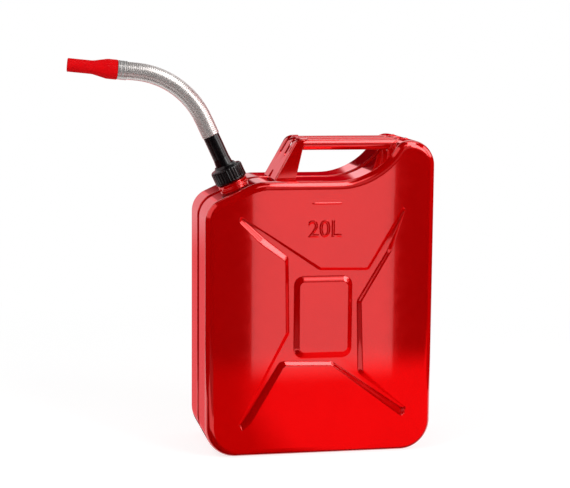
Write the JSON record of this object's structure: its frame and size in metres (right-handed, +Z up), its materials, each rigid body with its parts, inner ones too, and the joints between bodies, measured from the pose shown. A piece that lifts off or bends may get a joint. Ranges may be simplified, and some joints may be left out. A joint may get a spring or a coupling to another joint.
{
  "type": "fuel can",
  "caption": "Pressed steel fuel can with a recessed cross on each face, a three-bar handle, and a screwed-on flexible pouring spout.",
  "frame": {"origin": "middle of the whole object's base, on the surface it stands on", "axes": "+Z up, +Y from the pictured face to the back, -X towards the spout's tip"},
  "size_m": [0.539, 0.165, 0.5885],
  "materials": {
    "front_shell": "glossy red paint",
    "rear_shell": "glossy red paint",
    "handle_bar_front": "glossy red paint",
    "handle_bar_middle": "glossy red paint",
    "handle_bar_rear": "glossy red paint",
    "handle_bracket": "glossy red paint",
    "handle_cover": "glossy red paint",
    "filler_neck": "glossy red paint",
    "coupling_nut": "satin black",
    "spout_adapter": "satin black",
    "spout_hose": "bright corrugated metal",
    "hose_ferrule_upper": "bright metal",
    "hose_ferrule_lower": "plain metal",
    "nozzle_tip": "satin red",
    "neck_gasket": "matt black",
    "breather_pipe": "plain metal"
  },
  "bodies": {
    "can": {"front_shell": "front_shell", "rear_shell": "rear_shell", "handle_bar_front": "handle_bar_front", "handle_bar_middle": "handle_bar_middle", "handle_bar_rear": "handle_bar_rear", "handle_bracket": "handle_bracket", "handle_cover": "handle_cover", "filler_neck": "filler_neck", "breather_pipe": "breather_pipe"},
    "seal": {"neck_gasket": "neck_gasket"},
    "nut": {"coupling_nut": "coupling_nut"},
    "spout": {"spout_adapter": "spout_adapter", "hose_ferrule_lower": "hose_ferrule_lower", "spout_hose": "spout_hose"},
    "nozzle": {"hose_ferrule_upper": "hose_ferrule_upper", "nozzle_tip": "nozzle_tip"}
  },
  "joints": [
    {"name": "spout_lift", "type": "slide", "parent": "can", "child": "seal", "axis": [-0.4226, 0, 0.9063], "range_m": [0, 0.012]},
    {"name": "nut_turn", "type": "hinge", "parent": "seal", "child": "nut", "pos_m": [-0.022, 0, 0.40022], "axis": [-0.4226, 0, 0.9063], "range_deg": [0, 721]},
    {"name": "spout_swivel", "type": "hinge", "parent": "seal", "child": "spout", "pos_m": [-0.022, 0, 0.40022], "axis": [-0.4226, 0, 0.9063], "continuous": true},
    {"name": "spout_bend", "type": "hinge", "parent": "spout", "child": "nozzle", "pos_m": [-0.10828, 0, 0.54683], "axis": [0, 1, 0], "range_deg": [-30, 55], "deforming": ["spout_hose"]}
  ],
  "couplings": [
    {"joint": "nut_turn", "follows": "spout_lift", "rad_per_m": 1047.2}
  ]
}
